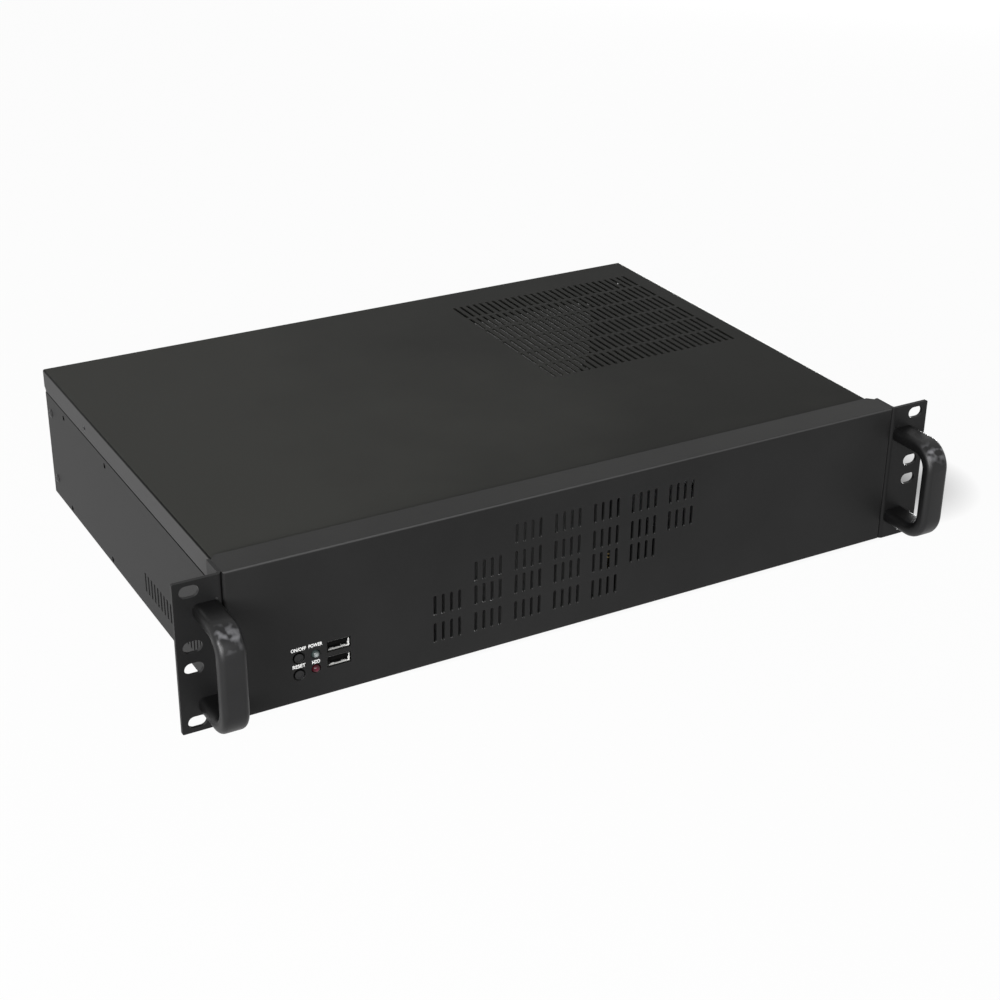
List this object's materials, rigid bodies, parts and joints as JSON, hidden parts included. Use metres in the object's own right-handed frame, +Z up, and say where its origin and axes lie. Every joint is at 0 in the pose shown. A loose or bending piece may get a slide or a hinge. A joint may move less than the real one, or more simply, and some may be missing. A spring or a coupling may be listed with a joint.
{
  "type": "rackmount server case",
  "caption": "Shallow black steel case for a 19-inch rack, two units high, with bow handles on its ears, vent slots and front sockets.",
  "frame": {"origin": "middle of the rack mounting plane: the rear face of the ears, centred between them and at mid-height", "axes": "+X to the right seen from the front, +Y to the rear, +Z up"},
  "size_m": [0.4826, 0.3365, 0.088],
  "materials": {
    "case_paint": "fine black powder coat",
    "cover_paint": "fine black powder coat",
    "panel_paint": "fine black powder coat",
    "ear_paint": "black powder coat",
    "handle_black": "satin black",
    "black_steel": "blackened",
    "zinc_steel": "zinc plated",
    "rivet_metal": "bare",
    "brass": "turned",
    "board_green": "solder mask",
    "socket_steel": "tinned",
    "black_plastic": "matte",
    "button_plastic": "satin",
    "lamp_white": "diffused clear",
    "lamp_red": "diffused red"
  },
  "bodies": {
    "case": {"chassis_tray": "case_paint", "rear_panel": "case_paint", "slot_frame": "case_paint", "slot_cover_1": "zinc_steel", "slot_cover_2": "zinc_steel", "slot_cover_3": "zinc_steel", "slot_cover_4": "zinc_steel", "slot_screws": "zinc_steel", "rear_rivets": "rivet_metal", "front_panel": "panel_paint", "left_ear": "ear_paint", "right_ear": "ear_paint", "left_handle": "handle_black", "right_handle": "handle_black", "handle_screws": "black_steel", "ear_screws": "black_steel", "clinch_nuts": "zinc_steel", "board_standoffs": "brass", "drive_cage": "zinc_steel", "cage_screws": "zinc_steel", "io_board": "board_green", "io_standoffs": "brass", "io_screws": "zinc_steel", "upper_usb_shell": "socket_steel", "upper_usb_insert": "black_plastic", "lower_usb_shell": "socket_steel", "lower_usb_insert": "black_plastic", "power_switch": "black_plastic", "reset_switch": "black_plastic", "power_led": "lamp_white", "drive_led": "lamp_red"},
    "cover": {"top_cover": "cover_paint", "cover_screws": "black_steel"},
    "power_cap": {"power_button": "button_plastic"},
    "reset_cap": {"reset_button": "button_plastic"}
  },
  "joints": [
    {"name": "cover_slide", "type": "slide", "parent": "case", "child": "cover", "axis": [0, 1, 0], "range_m": [0, 0.31]},
    {"name": "power_press", "type": "slide", "parent": "case", "child": "power_cap", "axis": [0, 1, 0], "range_m": [0, 0.0008], "stiffness_N_per_m": 300, "springref_m": -0.0016},
    {"name": "reset_press", "type": "slide", "parent": "case", "child": "reset_cap", "axis": [0, 1, 0], "range_m": [0, 0.0008], "stiffness_N_per_m": 300, "springref_m": -0.0016}
  ]
}
